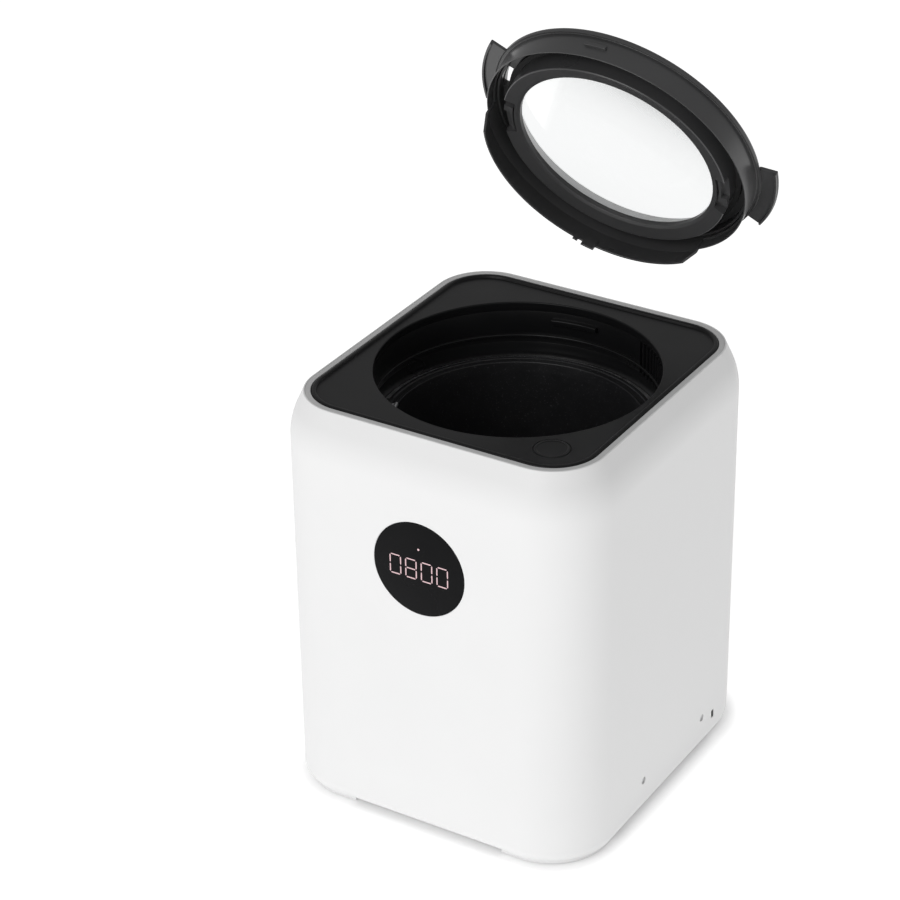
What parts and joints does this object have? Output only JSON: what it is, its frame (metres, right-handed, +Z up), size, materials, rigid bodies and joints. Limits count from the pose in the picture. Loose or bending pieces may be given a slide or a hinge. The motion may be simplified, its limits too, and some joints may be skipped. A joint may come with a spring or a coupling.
{
  "type": "food waste composter",
  "caption": "Electric food waste composter: white rounded housing, black deck with a round mouth, stirred heated bucket, geared drive, rear filter drawer and a bayonet lid with a window.",
  "frame": {"origin": "on the table under the middle of the housing", "axes": "+Z up, -Y towards the front with the display, +X to the right as seen from the front"},
  "size_m": [0.2953, 0.2887, 0.5974],
  "materials": {
    "shell_white": "soft satin white moulding",
    "trim_grey": "satin grey band",
    "deck_black": "satin black deck with a glossy lip",
    "collar_black": "satin black",
    "lid_black": "satin black",
    "window_glass": "clear tempered glass",
    "display_glass": "glossy black lens",
    "digit_light": "lit display bars",
    "steel": "brushed",
    "aluminium": "cast",
    "bucket_coat": "dark non-stick coating on aluminium",
    "brass": "machined",
    "gear_nylon": "natural nylon",
    "rubber": "matt",
    "motor_paint": "painted can",
    "board_green": "circuit board",
    "mica": "mica heater band",
    "felt": "insulation felt",
    "carbon": "carbon foam",
    "inner_plastic": "moulded inner part"
  },
  "bodies": {
    "housing": {"outer_shell": "shell_white", "trim_ring": "trim_grey", "deck_plate": "deck_black", "collar": "collar_black", "well_liner": "aluminium", "heater_plate": "aluminium", "heater_band": "mica", "insulation_wrap": "felt", "base_plate": "steel", "feet": "shell_white", "foot_pads": "rubber", "base_screws": "steel", "shell_screws": "steel", "chassis_plate": "steel", "chassis_posts": "steel", "gearbox_case": "aluminium", "gearbox_cover": "aluminium", "output_bearings": "steel", "drive_seal": "rubber", "idler_pin": "steel", "drive_motor": "motor_paint", "blower_housing": "inner_plastic", "blower_motor": "motor_paint", "air_duct": "inner_plastic", "filter_bay": "inner_plastic", "power_inlet": "collar_black", "control_board": "board_green", "display_lens": "display_glass", "display_frame": "inner_plastic", "display_board": "board_green", "display_digits": "digit_light", "button_switch": "inner_plastic", "lid_switch": "inner_plastic", "side_port": "collar_black"},
    "bucket": {"bucket": "bucket_coat", "bucket_hub": "steel", "breaker_bars": "steel", "hub_seal": "rubber"},
    "bail": {"bail_handle": "steel", "bail_grip": "collar_black"},
    "blade": {"blade_shaft": "steel", "stir_blade": "steel", "blade_cap": "steel"},
    "output": {"output_shaft": "steel", "output_gear": "gear_nylon", "drive_coupler": "steel"},
    "idler": {"idler_gear": "gear_nylon"},
    "pinion": {"motor_shaft": "steel", "motor_pinion": "brass"},
    "fan": {"fan_rotor": "inner_plastic"},
    "start_button": {"button_cap": "deck_black"},
    "filter": {"filter_drawer": "shell_white", "carbon_pad": "carbon"},
    "lid": {"lid_cover": "lid_black", "window_glass": "window_glass", "window_bezel": "shell_white", "bezel_screws": "steel", "lid_seal": "rubber", "detent_arms": "lid_black"},
    "lock": {"lock_ring": "lid_black"}
  },
  "joints": [
    {"name": "lid_swing", "type": "hinge", "parent": "housing", "child": "lid", "pos_m": [0.023, 0.178, 0.343], "axis": [-0.9785, 0.1115, 0.1736], "range_deg": [-63.7, 0]},
    {"name": "lid_lock", "type": "hinge", "parent": "lid", "child": "lock", "pos_m": [0.03897, 0.07974, 0.49342], "axis": [0.0053, 0.888, 0.4599], "range_deg": [0, 16]},
    {"name": "bucket_lift", "type": "slide", "parent": "housing", "child": "bucket", "axis": [0, 0, 1], "range_m": [0, 0.1]},
    {"name": "bail_turn", "type": "hinge", "parent": "bucket", "child": "bail", "pos_m": [0, 0, 0.2962], "axis": [-0.9397, -0.342, 0], "range_deg": [0, 90]},
    {"name": "blade_turn", "type": "hinge", "parent": "bucket", "child": "blade", "pos_m": [0, 0, 0.15], "axis": [0, 0, 1], "continuous": true},
    {"name": "output_turn", "type": "hinge", "parent": "housing", "child": "output", "pos_m": [0, 0, 0.1], "axis": [0, 0, 1], "continuous": true},
    {"name": "idler_turn", "type": "hinge", "parent": "housing", "child": "idler", "pos_m": [0.03924, -0.03924, 0.1], "axis": [0, 0, 1], "continuous": true},
    {"name": "pinion_turn", "type": "hinge", "parent": "housing", "child": "pinion", "pos_m": [0, -0.07412, 0.09], "axis": [0, 0, 1], "continuous": true},
    {"name": "fan_turn", "type": "hinge", "parent": "housing", "child": "fan", "pos_m": [0.09, -0.006, 0.05], "axis": [0, 0, 1], "continuous": true},
    {"name": "button_press", "type": "slide", "parent": "housing", "child": "start_button", "axis": [0, 0, -1], "range_m": [0, 0.0015], "stiffness_N_per_m": 400, "springref_m": -0.001},
    {"name": "filter_slide", "type": "slide", "parent": "housing", "child": "filter", "axis": [0, 1, 0], "range_m": [0, 0.085]}
  ],
  "couplings": [
    {"joint": "output_turn", "follows": "idler_turn", "ratio": -0.23333},
    {"joint": "pinion_turn", "follows": "idler_turn", "ratio": -4},
    {"joint": "blade_turn", "follows": "idler_turn", "ratio": -0.23333}
  ]
}
